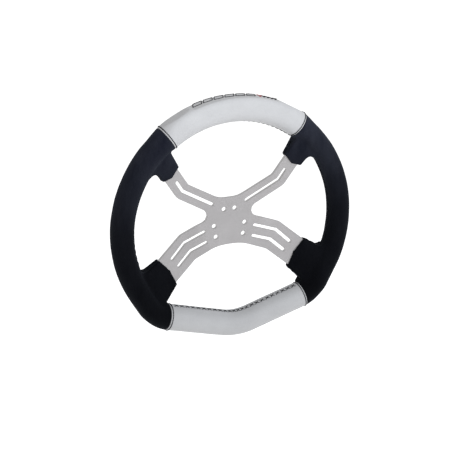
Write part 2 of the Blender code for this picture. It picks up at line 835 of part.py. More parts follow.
def joint_stitch(name, distance, parts, look):
    """A row of stitches round a silver cover, next to its joint with a grip."""
    centre, outward = station(distance)
    radial, axial = half_sizes(distance)
    lift = GAP + STITCH_RADIUS
    points = []
    for i in range(STITCH_POINTS):
        angle = 2 * math.pi * i / STITCH_POINTS
        point = centre + outward * (radial + lift) * math.cos(angle)
        points.append((point.x, RIM_Y + (axial + lift) * math.sin(angle), point.y))
    ring = curve_mesh(name, cord_curve(name, points, STITCH_RADIUS, True), parts)
    finish(ring, look)


def top_motif(parts, look):
    """The embroidered band on the flat crown, as one thin strip."""
    inner = RIM_RADIUS + TOP_FLAT_RISE + GAP
    outer = inner + MOTIF_THICKNESS
    centre = (0.0, RIM_CENTRE_Z)
    first = math.pi / 2 - MOTIF_HALF_ANGLE
    last = math.pi / 2 + MOTIF_HALF_ANGLE
    inner_edge = arc(centre, inner, first, last, MOTIF_STEPS)
    outline = inner_edge + arc(centre, outer, last, first, MOTIF_STEPS)
    strip = curve_mesh("top_motif", flat_curve("top_motif", [outline], MOTIF_WIDTH), parts)
    shift(strip, RIM_Y)
    finish(strip, look)


def build():
    clear_scene()
    parts = new_collection("kart_steering_wheel")
    cutters = new_collection("cutters")

    aluminium = material("satin_aluminium", (0.48, 0.47, 0.48), 0.38, 1.0)
    core_metal = material("core_aluminium", (0.42, 0.42, 0.43), 0.45, 1.0)
    rivet_metal = material("rivet_metal", (0.60, 0.60, 0.61), 0.35, 1.0)
    foam = material("moulded_foam", (0.03, 0.03, 0.03), 0.8)
    suede = material("black_suede", (0.012, 0.013, 0.018), 0.9)
    leather = material("silver_leather", (0.62, 0.64, 0.66), 0.42)
    thread = material("black_thread", (0.01, 0.01, 0.012), 0.7)

    spoke_plate(parts, aluminium)
    core_ring(parts, core_metal)
    shape = rivet_mesh()
    for name, arm, fixing, side in arm_sides():
        core_tab(name, arm, fixing, side, parts, core_metal)
        rivets(name, arm, fixing, side, shape, parts, rivet_metal)
    rim_foam(parts, cutters, foam)

    cover("top_cover", -TOP_END, TOP_END, parts, cutters, leather)
    grip_cover("right", 1, parts, cutters, suede)
    grip_cover("left", -1, parts, cutters, suede)
    cover("bottom_cover", BOTTOM_END, 2 * HALF_LENGTH - BOTTOM_END, parts, cutters, leather)

    lacing("lacing_top", -TOP_END + LACING_SETBACK, TOP_END - LACING_SETBACK, parts, thread)
    start, end = BOTTOM_END + LACING_SETBACK, 2 * HALF_LENGTH - BOTTOM_END - LACING_SETBACK
    lacing("lacing_bottom", start, end, parts, thread)
    lacing("lacing_grip_right", GRIP_SEAM[0] + MM, GRIP_SEAM[1] - MM, parts, thread)
    lacing("lacing_grip_left", -GRIP_SEAM[1] + MM, -GRIP_SEAM[0] - MM, parts, thread)
    for hand, side in (("right", 1), ("left", -1)):
        joint_stitch(f"joint_stitch_upper_{hand}", side * (TOP_END - STITCH_SETBACK), parts, thread)
        joint_stitch(f"joint_stitch_lower_{hand}", side * (BOTTOM_END + STITCH_SETBACK), parts, thread)
    top_motif(parts, thread)


build()
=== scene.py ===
"""The looks of the kart steering wheel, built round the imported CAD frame.

Metres, +Z up, +X to the driver's right, +Y away from the driver, as in the frame.
"""

import math

import bpy
import numpy as np
from mathutils import Matrix, Vector, noise


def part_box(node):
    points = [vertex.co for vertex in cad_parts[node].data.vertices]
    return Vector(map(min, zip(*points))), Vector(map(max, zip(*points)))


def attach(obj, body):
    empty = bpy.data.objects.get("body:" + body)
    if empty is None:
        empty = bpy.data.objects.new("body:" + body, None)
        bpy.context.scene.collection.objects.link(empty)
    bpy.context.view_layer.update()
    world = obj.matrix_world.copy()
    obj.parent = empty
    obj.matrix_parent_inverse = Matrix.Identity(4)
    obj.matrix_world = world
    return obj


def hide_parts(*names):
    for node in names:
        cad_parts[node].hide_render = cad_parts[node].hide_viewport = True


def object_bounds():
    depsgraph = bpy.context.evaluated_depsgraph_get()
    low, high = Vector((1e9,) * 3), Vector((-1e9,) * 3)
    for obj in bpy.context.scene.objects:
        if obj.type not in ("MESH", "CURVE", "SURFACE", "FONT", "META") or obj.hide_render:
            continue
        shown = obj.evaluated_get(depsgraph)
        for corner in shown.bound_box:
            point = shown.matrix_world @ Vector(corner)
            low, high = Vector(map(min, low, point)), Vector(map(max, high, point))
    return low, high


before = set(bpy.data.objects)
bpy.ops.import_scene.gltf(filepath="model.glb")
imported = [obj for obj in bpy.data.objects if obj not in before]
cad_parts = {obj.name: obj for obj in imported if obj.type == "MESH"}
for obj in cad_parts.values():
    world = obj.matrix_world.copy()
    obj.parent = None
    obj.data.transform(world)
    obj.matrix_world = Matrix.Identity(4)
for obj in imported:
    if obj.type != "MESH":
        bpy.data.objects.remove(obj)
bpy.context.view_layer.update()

MM = 0.001

# The rim's centreline, as in the CAD: circle, straight side, round corner, shallow V.
RIM_RADIUS = 145.7 * MM
SIDE_TANGENT = math.radians(-29.8)  # where the circle ends and the straight side starts
CORNER_RADIUS = 38.0 * MM
BOTTOM_DROP = 133.9 * MM  # from the rim's centre down to the point of the V
BOTTOM_SLOPE = math.radians(15.5)
BOTTOM_KINK_RADIUS = 73.0 * MM
TOP_JOINT = math.radians(53.6)  # where silver meets black
BOTTOM_JOINT = math.radians(-49.2)

# Half sizes of the padded section, radial and along Y.
TOP_SECTION = np.array((16.6, 15.8)) * MM
GRIP_SECTION = np.array((14.3, 16.6)) * MM
BOTTOM_SECTION = np.array((16.3, 17.4)) * MM
SECTION_BLEND = 20.0 * MM  # length over which one section turns into the next
FOAM_INSET = 1.5 * MM  # from the covers' surface in to the foam
COVER_STEP = 0.8 * MM
COVER_SIDES = 144
JOINT_LIP = 0.6 * MM  # radius of a cover's rolled end
JOINT_GAP = 0.15 * MM

# The flat crown at the top, and the flats between it and the joints.
CROWN_HALF_ANGLE = math.radians(20.5)
CROWN_RISE = 15.0 * MM  # above the centreline's circle
CROWN_TILT = 0.06  # rise of the crown away from the driver
CROWN_END_BLEND = math.radians(1.2)
FLANK_RISE = 16.4 * MM
SQUARE_POWER = 3.6  # 2 is an ellipse, more is squarer
SQUARE_BLEND = 22.0 * MM

# The spoke plate's thickness and dish.
PLATE_THICKNESS = 4.0 * MM
UPPER_RISE = math.radians(40.0)
LOWER_RISE = math.radians(-33.0)
ARM_SPLIT_Z = 12.0 * MM  # upper arms lie above it, lower arms below
BEND_START = 37.0 * MM
DISH_SLOPE = math.tan(math.radians(8.7))

# Shoulders of the right grip. Outlines are points (x, z) in millimetres: the free edge, the
# hollow where it meets the grip, and the side hidden inside the grip.
UPPER_EDGE = ((80.8, 100.0), (70.6, 83.1), (79.8, 70.5), (91.4, 67.1))
UPPER_FILLET = (
    (96.8, 74.6), (98.8, 76.8), (101.4, 78.0), (104.6, 78.1), (107.8, 77.0), (110.0, 75.6),
)
UPPER_INSIDE = ((122.4, 70.9), (104.0, 96.7), (86.5, 110.5))
LOWER_EDGE = ((89.2, -90.5), (93.4, -84.6), (75.8, -66.3), (84.5, -47.2), (99.5, -31.5))
LOWER_FILLET = ((113.5, -40.0), (116.0, -41.5), (119.0, -42.4), (122.0, -42.2), (124.5, -40.8))
LOWER_INSIDE = ((130.0, -46.0), (121.2, -67.0), (108.0, -90.0), (98.0, -96.0))
SHOULDER_HALF = 5.5 * MM  # half thickness at the start of the flare
SHOULDER_FLARE = 0.15  # growth of that half for each unit further out
SHOULDER_FLARE_START = 107.0 * MM
SHOULDER_EDGE_RADIUS = 1.9 * MM
SHOULDER_CORNER_RADIUS = 1.8 * MM
SHOULDER_BLEND = 2.6 * MM

# Arms: a point (x, z) of the middle line in millimetres, its angle in degrees, and the width.
ARMS = (((64.0, 50.0), 56.0, 21.0), ((58.5, -23.5), -40.3, 38.0))
ARM_GAP = 0.5 * MM
ARM_OPENING_DEPTH = 6 * MM

# The grid on which the right grip is drawn: its ranges in x and z, and room past the foam in y.
GRIP_GRID = 1.0 * MM
GRIP_X = (62 * MM, 163 * MM)
GRIP_Z = (-122 * MM, 134 * MM)
GRIP_Y_ROOM = 4 * MM

# Seams and wrinkles. Each wave has a length and a height in millimetres, and a step of the seed.
SEAM_DEPTH = 0.15 * MM
SEAM_WIDTH = 0.6 * MM
PUCKER_DEPTH = 0.08 * MM
PUCKER_WIDTH = 1.4 * MM
TOP_SEAM_SHIFT = 2.6 * MM
BOTTOM_SEAM_SHIFT = -2.4 * MM
LEATHER_WAVES = ((18.0, 0.22, 0), (6.0, 0.06, 4))
SUEDE_WAVES = ((22.0, 0.30, 0), (7.0, 0.10, 3))
WAVE_FADE = 6 * MM

# Lacing. A lace stands up where it crosses the other strand, and dips into its holes.
LACE_RADIUS = 0.42 * MM
LACE_PITCH = 7.6 * MM
LACE_HALF_WIDTH = 2.3 * MM
GRIP_LACE_HALF_WIDTH = 0.8 * LACE_HALF_WIDTH
LACE_RAISE = 0.42 * MM
LACE_OVER = 0.12 * MM
LACE_DIP = 0.35 * MM
LACE_MARGIN = 3 * MM
LACE_SHARE = np.linspace(0, 1, 9)
SIDE_SEAM_Z = (-33 * MM, 68 * MM)
PATH_STEP = 0.5 * MM
ARM_SEAM_GAP = 1.5 * MM

# Stitches round the joints.
STITCH_RADIUS = 0.72 * MM
STITCH_LENGTH = 1.5 * MM
STITCH_GAP = 0.55 * MM
STITCH_SETBACK = 2.1 * MM
STITCH_RAISE = 0.24 * MM
STITCH_DIP = 0.06 * MM

# The embroidered band on the crown: slanted bars, then chevrons.
MOTIF_THREAD_RADIUS = 0.48 * MM
MOTIF_MIDDLE_Y = 1.6 * MM
MOTIF_HALF_HEIGHT = 4.8 * MM
MOTIF_SLANT = 3.4 * MM
MOTIF_RAISE = 0.10 * MM
DASH_LENGTH = 2.0 * MM
DASH_RAISE = 0.14 * MM
DASH_FILL = 0.96
BAR_COUNT = 6
BAR_START = -49.0 * MM
BAR_PITCH = 12.8 * MM
BAR_WIDTH = 10.4 * MM
CHEVRON_COUNT = 5
CHEVRON_START = 30.5 * MM
CHEVRON_PITCH = 4.8 * MM
CHEVRON_ROWS = (0.0, 1.1 * MM)
THREAD_SIDES = 6
THREAD_END = 0.55  # radius at a thread's tips, as a share of its own

# Colours of the materials: the dark and the light end of each.
SUEDE = ((0.0020, 0.0023, 0.0040), (0.0062, 0.0068, 0.0094))
SUEDE_SHEEN = (0.66, 0.74, 0.92, 1.0)
LEATHER = ((0.380, 0.380, 0.384), (0.433, 0.433, 0.437))
PLATE = ((0.296, 0.286, 0.286), (0.337, 0.326, 0.326))
# painted light: a lighter colour for the plate's cut side walls, in place of light falling on them
PLATE_EDGE_PAINTED_LIGHT = (0.52, 0.51, 0.51, 1.0)
BLACK_THREAD = ((0.002, 0.002, 0.003), (0.009, 0.009, 0.012))
RED_THREAD = ((0.20, 0.006, 0.010), (0.45, 0.020, 0.028))

# Painted light and shade, as brightness from the bottom of the rim (0) to its top (1).
PAINTED_LIGHT_Z = (-0.13, 0.15)
SUEDE_PAINTED_LIGHT = ((0.0, 0.22), (0.5, 0.70), (1.0, 4.2))
LEATHER_PAINTED_LIGHT = ((0.0, 0.79), (0.55, 0.91), (1.0, 1.0))

# Studio: the backdrop, the floor, and the place, size and power of each soft light.
WORLD_STRENGTH = 0.72
FLOOR_SIZE = 80
FLOOR_DROP = 0.30
FLOOR_GLOW = 0.45
LIGHT_COLOUR = (0.90, 0.94, 1.0)
LIGHTS = (
    ("key_softbox", (0.30, -1.15, 0.66), 1.0, 15.0),
    ("rim_softbox", (0.9, 0.5, 0.7), 0.6, 2.0),
)

# Camera: a long lens to the left of the wheel's axis and above it, level but for a slight roll.
CAMERA_AZIMUTH = math.radians(23.31)
CAMERA_ELEVATION = math.radians(17.61)
CAMERA_ROLL = math.radians(-0.65)
CAMERA_DISTANCE = 1.371
CAMERA_LENS = 87.2
CAMERA_SENSOR = 36.0
CAMERA_SHIFT = (-0.0080, -0.0074)

foam_low, foam_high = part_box("rim_foam")
core_low, core_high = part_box("rim_core_ring")
RIM_Y = (core_low.y + core_high.y) / 2
RIM_CENTRE_Z = foam_high.z - RIM_RADIUS - CROWN_RISE + FOAM_INSET


# ---- the centreline ----


def centreline():
    """The right half of the centreline about the rim's centre, as arcs and straight runs."""
    tangent = np.array((math.cos(SIDE_TANGENT), math.sin(SIDE_TANGENT))) * RIM_RADIUS
    side = np.array((math.sin(SIDE_TANGENT), -math.cos(SIDE_TANGENT)))
    bottom = np.array((-math.cos(BOTTOM_SLOPE), -math.sin(BOTTOM_SLOPE)))
    to_kink = np.array((0.0, -BOTTOM_DROP)) - tangent
    cross = side[0] * bottom[1] - side[1] * bottom[0]
    run = (to_kink[0] * bottom[1] - to_kink[1] * bottom[0]) / cross
    corner = tangent + side * run
    turn = math.acos(side @ bottom)
    corner_cut = CORNER_RADIUS * math.tan(turn / 2)
    kink_cut = BOTTOM_KINK_RADIUS * math.tan(BOTTOM_SLOPE)
    corner_start = corner - side * corner_cut
    corner_end = corner + bottom * corner_cut
    kink_start = np.array((0.0, -BOTTOM_DROP)) - bottom * kink_cut
    corner_centre = corner_start + right_of(side) * CORNER_RADIUS
    kink_centre = kink_start + right_of(bottom) * BOTTOM_KINK_RADIUS
    return [
        ("arc", np.zeros(2), RIM_RADIUS, math.pi / 2, SIDE_TANGENT),
        ("line", tangent, side, run - corner_cut, None),
        ("arc", corner_centre, CORNER_RADIUS, *arc_span(side, turn)),
        ("line", corner_end, bottom, float(np.linalg.norm(kink_start - corner_end)), None),
        ("arc", kink_centre, BOTTOM_KINK_RADIUS, *arc_span(bottom, BOTTOM_SLOPE)),
    ]


def right_of(way):
    return np.array((way[1], -way[0]))


def arc_span(way, turn):
    """Start and end angles of an arc that bends to the right from a direction."""
    start = math.atan2(way[0], -way[1])
    return start, start - turn


def piece_length(piece):
    if piece[0] == "arc":
        return piece[2] * (piece[3] - piece[4])
    return piece[3]


LINE = centreline()
STARTS = np.concatenate(([0.0], np.cumsum([piece_length(piece) for piece in LINE])))
HALF_LENGTH = STARTS[-1]


def station(distance):
    """Points and outward directions (x, z) of the centreline, at distances from the top."""
    distance = np.asarray(distance, float)
    wrapped = (distance + HALF_LENGTH) % (2 * HALF_LENGTH) - HALF_LENGTH
    side = np.where(wrapped < 0, -1.0, 1.0)
    along = np.abs(wrapped)
    point = np.zeros((*along.shape, 2))
    outward = np.zeros_like(point)
    for piece, start, end in zip(LINE, STARTS[:-1], STARTS[1:]):
        here = (along >= start) & (along <= end)
        rest = along[here] - start
        if piece[0] == "arc":
            angle = piece[3] - rest / piece[2]
            ray = np.stack((np.cos(angle), np.sin(angle)), -1)
            point[here] = piece[1] + ray * piece[2]
            outward[here] = ray
        else:
            point[here] = piece[1] + rest[:, None] * piece[2]
            outward[here] = -right_of(piece[2])
    point[..., 0] *= side
    outward[..., 0] *= side
    point[..., 1] += RIM_CENTRE_Z
    return point, outward


def nearest(x, z):
    """Distance along and signed offset from the centreline, for points of the plane."""
    flat = np.stack((np.abs(x), z - RIM_CENTRE_Z), -1)
    best = np.full(x.shape, np.inf)
    along = np.zeros(x.shape)
    offset = np.zeros(x.shape)
    for piece, start in zip(LINE, STARTS[:-1]):
        length = piece_length(piece)
        if piece[0] == "arc":
            to = flat - piece[1]
            angle = np.arctan2(to[..., 1], to[..., 0])
            middle = (piece[3] + piece[4]) / 2
            angle = middle + (angle - middle + math.pi) % (2 * math.pi) - math.pi
            rest = np.clip((piece[3] - angle) * piece[2], 0, length)
            angle = piece[3] - rest / piece[2]
            ray = np.stack((np.cos(angle), np.sin(angle)), -1)
            away = flat - (piece[1] + ray * piece[2])
        else:
            rest = np.clip((flat - piece[1]) @ piece[2], 0, length)
            ray = np.broadcast_to(-right_of(piece[2]), flat.shape)
            away = flat - (piece[1] + rest[..., None] * piece[2])
        gap = np.linalg.norm(away, axis=-1)
        closer = gap < best
        best = np.where(closer, gap, best)
        along = np.where(closer, start + rest, along)
        side = np.sign((away * ray).sum(-1))
        offset = np.where(closer, gap * side, offset)
    return along, offset


def distance_at(angle):
    """Distance from the top to where the right half crosses a ray from the rim's centre."""
    sample = np.linspace(0, HALF_LENGTH, 4001)
    point, _ = station(sample)
    angles = np.arctan2(point[:, 1] - RIM_CENTRE_Z, point[:, 0])
    return float(np.interp(-angle, -angles, sample))


TOP_END = distance_at(TOP_JOINT)
BOTTOM_END = distance_at(BOTTOM_JOINT)


def smooth(value, start, end):
    """A soft step from 0 at start to 1 at end."""
    share = np.clip((value - start) / (end - start), 0, 1)
    return share * share * (3 - 2 * share)


def half_sizes(distance):
    """Radial and axial half sizes of the section, at distances from the top."""
    wrapped = (np.asarray(distance, float) + HALF_LENGTH) % (2 * HALF_LENGTH) - HALF_LENGTH
    away = np.abs(wrapped)
    to_grip = smooth(away, TOP_END - SECTION_BLEND / 4, TOP_END + SECTION_BLEND)[..., None]
    to_bottom = smooth(away, BOTTOM_END - SECTION_BLEND, BOTTOM_END + SECTION_BLEND / 4)[..., None]
    sizes = TOP_SECTION + (GRIP_SECTION - TOP_SECTION) * to_grip
    sizes = sizes + (BOTTOM_SECTION - sizes) * to_bottom
    return sizes[..., 0], sizes[..., 1]


def outer_limit(distance, y):
    """How far out the padding may reach: flat over the crown, and flat on both its flanks."""
    angle = np.abs(distance) / RIM_RADIUS
    crown = CROWN_RISE + CROWN_TILT * y
    flank_middle = (CROWN_HALF_ANGLE + TOP_END / RIM_RADIUS) / 2
    flank_half = flank_middle - CROWN_HALF_ANGLE
    chord = (RIM_RADIUS + FLANK_RISE) * math.cos(flank_half)
    flank = chord / np.cos(np.clip(angle - flank_middle, -flank_half, flank_half)) - RIM_RADIUS
    past = smooth(angle, CROWN_HALF_ANGLE - CROWN_END_BLEND, CROWN_HALF_ANGLE + CROWN_END_BLEND)
    return crown + (flank - crown) * past


# ---- meshes ----


def mesh_object(name, points, faces, smooth_angle=None):
    """A smooth shaded object, with edges above smooth_angle degrees kept sharp if it is given."""
    mesh = bpy.data.meshes.new(name)
    mesh.from_pydata(points.tolist(), [], faces.tolist() if hasattr(faces, "tolist") else faces)
    mesh.validate()
    mesh.shade_smooth()
    if smooth_angle is not None:
        mesh.set_sharp_from_angle(angle=math.radians(smooth_angle))
    obj = bpy.data.objects.new(name, mesh)
    bpy.context.scene.collection.objects.link(obj)
    return obj


def grid_faces(rows, columns, close_columns):
    """Quads of a grid of points, in row order; the columns may close on themselves."""
    index = np.arange(rows * columns).reshape(rows, columns)
    following = np.roll(index, -1, axis=1) if close_columns else index[:, 1:]
    index = index if close_columns else index[:, :-1]
    return np.stack((index[:-1], index[1:], following[1:], following[:-1]), -1).reshape(-1, 4)


def fullness(distance, angle):
    """How far the section swells past an ellipse: only at the top, in its outer front quarter."""
    inside = 1 - smooth(np.abs(distance), TOP_END - SQUARE_BLEND, TOP_END)
    power = 2 + (SQUARE_POWER - 2) * inside
    across, along = np.abs(np.cos(angle)), np.abs(np.sin(angle))
    swell = (across**power + along**power) ** (-1 / power)
    return np.where((np.cos(angle) > 0) & (np.sin(angle) < 0), swell, 1.0)


def surface_point(distance, angle, lift=0.0):
    """Points on the padding of a silver cover. Angle 0 is the outer side, pi the inner seam."""
    distance, angle = np.broadcast_arrays(np.asarray(distance, float), np.asarray(angle, float))
    centre, outward = station(distance)
    radial, axial = half_sizes(distance)
    full = fullness(distance, angle)
    y = (axial + lift) * np.sin(angle) * full
    out = (radial + lift) * np.cos(angle) * full
    out = np.minimum(out, outer_limit(distance, y) + lift)
    point = centre + outward * out[..., None]
    return np.stack((point[..., 0], RIM_Y + y, point[..., 1]), -1)


def wrinkles(points, waves, seed):
    """A small offset at each point, summed from waves of smooth noise."""
    total = 0.0
    for length, height, seed_step in waves:
        own_seed = seed + seed_step
        shift = Vector((own_seed, 2.3 * own_seed, 5.1 * own_seed))
        spots = (Vector(point) / (length * MM) + shift for point in points.reshape(-1, 3))
        total = total + np.array([noise.noise(spot) for spot in spots]) * (height * MM)
    return total


def outward_from(points, distance):
    """Directions to points from the middle of the padding at their distances."""
    centre, _ = station(distance)
    axis = np.stack((centre[..., 0], np.full(centre.shape[:-1], RIM_Y), centre[..., 1]), -1)
    away = points - axis
    return away / np.linalg.norm(away, axis=-1, keepdims=True)


def rolled_ends(start, end):
    """Distances of a cover's rings, and how far each is drawn in, with both ends rolled."""
    inner = np.arange(start + JOINT_LIP, end - JOINT_LIP, COVER_STEP)
    lip = np.linspace(0, math.pi / 2, 6)
    head = start + JOINT_GAP + (JOINT_LIP - JOINT_GAP) * (1 - np.cos(lip))
    drop = JOINT_LIP * (1 - np.sin(lip))
    distance = np.concatenate((head[:-1], inner, (start + end - head)[::-1][1:]))
    return distance, np.concatenate((drop[:-1], np.zeros(len(inner)), drop[::-1][1:]))


def cover(name, start, end, seam_shift, seed):
    """A leather cover: rolled edges at the joints, and a sunk seam along the inner side."""
    distance, drop = rolled_ends(start, end)
    angle = np.linspace(0, 2 * math.pi, COVER_SIDES, endpoint=False)
    radius = float(np.mean(half_sizes((start + end) / 2)))
    from_seam = np.abs((angle + seam_shift / radius) % (2 * math.pi) - math.pi) * radius
    groove = SEAM_DEPTH * np.exp(-(from_seam / SEAM_WIDTH) ** 2)
    pucker = np.exp(-((from_seam - LACE_HALF_WIDTH) / PUCKER_WIDTH) ** 2)
    ripple = PUCKER_DEPTH * np.cos(distance * 2 * math.pi / LACE_PITCH)
    lift = -drop[:, None] - groove[None, :] - pucker[None, :] * (PUCKER_DEPTH + ripple[:, None])
    points = surface_point(distance[:, None], angle[None, :], lift)
    rows, columns = points.shape[:2]
    away = outward_from(points, distance[:, None])
    waves = wrinkles(points, LEATHER_WAVES, seed).reshape(rows, columns)
    half = (end - start) / 2
    fade = 1 - smooth(np.abs(distance - (start + end) / 2), half - WAVE_FADE, half)
    points = points + away * (waves * fade[:, None])[..., None]
    faces = grid_faces(rows, columns, True)[:, ::-1].tolist()
    faces.append(list(range(columns)))
    faces.append(list(range((rows - 1) * columns, rows * columns))[::-1])
    return mesh_object(name, points.reshape(-1, 3), faces, 40)


# ---- the grips, as one implicit surface turned into quads ----


def shoulder_outline(edge, fillet, inside):
    """A shoulder's closed outline, anticlockwise."""
    outline = np.array(edge + fillet + inside) * MM
    following = np.roll(outline, -1, axis=0)
    area = (outline[:, 0] * following[:, 1] - following[:, 0] * outline[:, 1]).sum()
    return outline if area > 0 else outline[::-1]


def drawn_in(outline, distance):
    """The outline moved inwards by a distance."""
    before = outline - np.roll(outline, 1, axis=0)
    after = np.roll(outline, -1, axis=0) - outline
    before /= np.linalg.norm(before, axis=1, keepdims=True)
    after /= np.linalg.norm(after, axis=1, keepdims=True)
    left_after = np.stack((-after[:, 1], after[:, 0]), -1)
    left = np.stack((-before[:, 1], before[:, 0]), -1) + left_after
    left /= np.linalg.norm(left, axis=1, keepdims=True)
    share = (left * left_after).sum(1, keepdims=True)
    return outline + left * distance / share


SHOULDERS = (
    shoulder_outline(UPPER_EDGE, UPPER_FILLET, UPPER_INSIDE),
    shoulder_outline(LOWER_EDGE, LOWER_FILLET, LOWER_INSIDE),
)
INNER_OUTLINES = [drawn_in(outline, SHOULDER_CORNER_RADIUS) for outline in SHOULDERS]


def outline_distance(x, z, outline):
    """Signed distance in the plane from a closed outline, negative inside."""
    best = np.full(x.shape, np.inf)
    inside = np.zeros(x.shape, bool)
    for (ax, az), (bx, bz) in zip(outline, np.roll(outline, -1, axis=0)):
        dx, dz = bx - ax, bz - az
        share = np.clip(((x - ax) * dx + (z - az) * dz) / (dx * dx + dz * dz), 0, 1)
        best = np.minimum(best, (x - ax - share * dx) ** 2 + (z - az - share * dz) ** 2)
        crosses = (az > z) != (bz > z)
        inside ^= crosses & (x < ax + (z - az) * dx / (dz if dz else 1e-12))
    return np.where(inside, -1.0, 1.0) * np.sqrt(best)


def dish(x, z):
    """How far an arm has come toward the driver, as in the CAD."""
    rise = np.where(z > ARM_SPLIT_Z, UPPER_RISE, LOWER_RISE)
    beyond = np.abs(x) * np.cos(rise) + z * np.sin(rise) - BEND_START
    return -DISH_SLOPE * np.clip(beyond, 0, None)


def rounded_both(first, second, radius):
    """The overlap of two shapes, with its edge rounded."""
    a, b = first + radius, second + radius
    return np.minimum(np.maximum(a, b), 0) + np.hypot(np.maximum(a, 0), np.maximum(b, 0)) - radius


def melted(first, second, width):
    """The union of two shapes, with a fillet where they meet."""
    share = np.clip(0.5 + 0.5 * (second - first) / width, 0, 1)
    return second + (first - second) * share - width * share * (1 - share)


def tube_field(x, y, z):
    """About the distance from the surface of the padding round the centreline."""
    along, offset = nearest(x, z)
    radial, axial = half_sizes(along)
    u, v = offset / radial, (y - RIM_Y) / axial
    slope = np.hypot(u / radial, v / axial)
    return (u * u + v * v - 1) / (2 * np.maximum(slope, 1 / (3 * GRIP_SECTION[1])))


def joint_planes():
    """A point of each joint of the right grip, and the direction (x, z) out of the grip there."""
    point, outward = station(np.array((TOP_END, BOTTOM_END)))
    ways = np.stack((-outward[:, 1], outward[:, 0]), -1)
    ways[0] = -ways[0] if ways[0] @ (0, 1) < 0 else ways[0]
    ways[1] = -ways[1] if ways[1] @ (-1, 0) < 0 else ways[1]
    return point, ways


JOINT_POINTS, JOINT_WAYS = joint_planes()


def across_arm(x, z, arm):
    """Distance to the side of an arm's middle line."""
    point, angle, _ = arm
    angle = math.radians(angle)
    return -(x - point[0] * MM) * math.sin(angle) + (z - point[1] * MM) * math.cos(angle)


def arm_field(x, y, z, arm):
    """Distance from the strip of plate that goes into a shoulder."""
    depth = np.abs(y - dish(x, z) + PLATE_THICKNESS / 2) - PLATE_THICKNESS / 2
    return np.maximum(np.abs(across_arm(x, z, arm)) - arm[2] / 2 * MM, depth)


def grip_field(points):
    """Distance from the surface of the right grip and its shoulders, negative inside."""
    x, y, z = points[..., 0], points[..., 1], points[..., 2]
    body = tube_field(x, y, z)
    flat = np.stack((x, z), -1)
    for point, way in zip(JOINT_POINTS, JOINT_WAYS):
        body = rounded_both(body, (flat - point) @ way + JOINT_GAP, JOINT_LIP)
    reach = np.hypot(x, z)
    half = SHOULDER_HALF + SHOULDER_FLARE * (reach - SHOULDER_FLARE_START)
    middle = dish(x, z) - PLATE_THICKNESS / 2
    for outline in INNER_OUTLINES:
        flat_distance = outline_distance(x, z, outline) - SHOULDER_CORNER_RADIUS
        slab = rounded_both(flat_distance, np.abs(y - middle) - half, SHOULDER_EDGE_RADIUS)
        body = melted(body, slab, SHOULDER_BLEND)
    for arm in ARMS:
        opening = ARM_GAP - arm_field(x, y, z, arm)
        in_reach = reach < SHOULDER_FLARE_START + ARM_OPENING_DEPTH
        body = np.maximum(body, np.where(in_reach, opening, body))
    return body


def surface_nets(field, low, step):
    """Quads on the zero surface of a grid of values, with one point in each cell it crosses."""
    inside = field < 0
    cells = tuple(size - 1 for size in field.shape)
    total = np.zeros((*cells, 3))
    count = np.zeros(cells)
    corners = [(i, j, k) for i in (0, 1) for j in (0, 1) for k in (0, 1)]
    for a in corners:
        for b in corners:
            if sum(b) - sum(a) != 1 or any(q < p for p, q in zip(a, b)):
                continue
            here = tuple(slice(p, p + n) for p, n in zip(a, cells))
            there = tuple(slice(p, p + n) for p, n in zip(b, cells))
            first, second = field[here], field[there]
            crossed = inside[here] != inside[there]
            share = np.where(crossed, first / np.where(crossed, first - second, 1.0), 0.0)
            for axis in range(3):
                total[..., axis] += np.where(crossed, a[axis] + share * (b[axis] - a[axis]), 0.0)
            count += crossed
    used = count > 0
    number = np.full(cells, -1)
    number[used] = np.arange(used.sum())
    points = low + (np.argwhere(used) + total[used] / count[used][:, None]) * step
    faces = []
    for axis in range(3):
        near = [slice(None)] * 3
        far = [slice(None)] * 3
        near[axis] = slice(0, -1)
        far[axis] = slice(1, None)
        change = inside[tuple(near)].astype(int) - inside[tuple(far)].astype(int)
        u, v = [n for n in range(3) if n != axis]
        for turn in (1, -1):
            spots = np.argwhere(change == turn)
            spots = spots[(spots[:, u] > 0) & (spots[:, v] > 0)]
            ring = []
            for du, dv in ((1, 1), (0, 1), (0, 0), (1, 0)):
                cell = spots.copy()
                cell[:, u] -= du
                cell[:, v] -= dv
                ring.append(number[tuple(cell.T)])
            quads = np.stack(ring, -1)
            forward = (turn == 1) != (axis == 1)
            faces.append(quads if forward else quads[:, ::-1])
    return points, np.concatenate(faces)


def field_slope(points, field, small):
    """The values of a field at points, and its slopes there by small steps."""
    value = field(points)
    steps = [field(points + small * unit) - value for unit in np.eye(3)]
    return value, np.stack(steps, -1) / small


def settle(points, field, rounds=3):
    """Moves points onto the zero surface of a field."""
    for _ in range(rounds):
        value, slope = field_slope(points, field, 0.05 * MM)
        size = np.maximum((slope * slope).sum(-1), 0.2)
        step = np.clip(-value / size, -GRIP_GRID / 2, GRIP_GRID / 2)
        points = points + slope * step[:, None]
    return points


def grip_surface():
    """Points and quads of the right grip with its two shoulders."""
    low = np.array((GRIP_X[0], foam_low.y - GRIP_Y_ROOM, GRIP_Z[0]))
    high = np.array((GRIP_X[1], foam_high.y + GRIP_Y_ROOM, GRIP_Z[1]))
    axes = [np.arange(a, b, GRIP_GRID) for a, b in zip(low, high)]
    lattice = np.stack(np.meshgrid(*axes, indexing="ij"), -1)
    points, faces = surface_nets(grip_field(lattice), low, GRIP_GRID)
    return settle(points, grip_field), faces


def grip(name, side, points, faces, seed):
    """One grip: the right one as it is, or its mirror image, with waves of its own."""
    points = points * (side, 1, 1)
    if side < 0:
        faces = faces[:, ::-1]
    obj = mesh_object(name, points, faces)
    normals = np.zeros(len(points) * 3)
    obj.data.vertices.foreach_get("normal", normals)
    waves = wrinkles(points, SUEDE_WAVES, seed)
    moved = points + normals.reshape(-1, 3) * waves[:, None]
    obj.data.vertices.foreach_set("co", moved.ravel())
    obj.data.update()
    return obj


# ---- threads ----


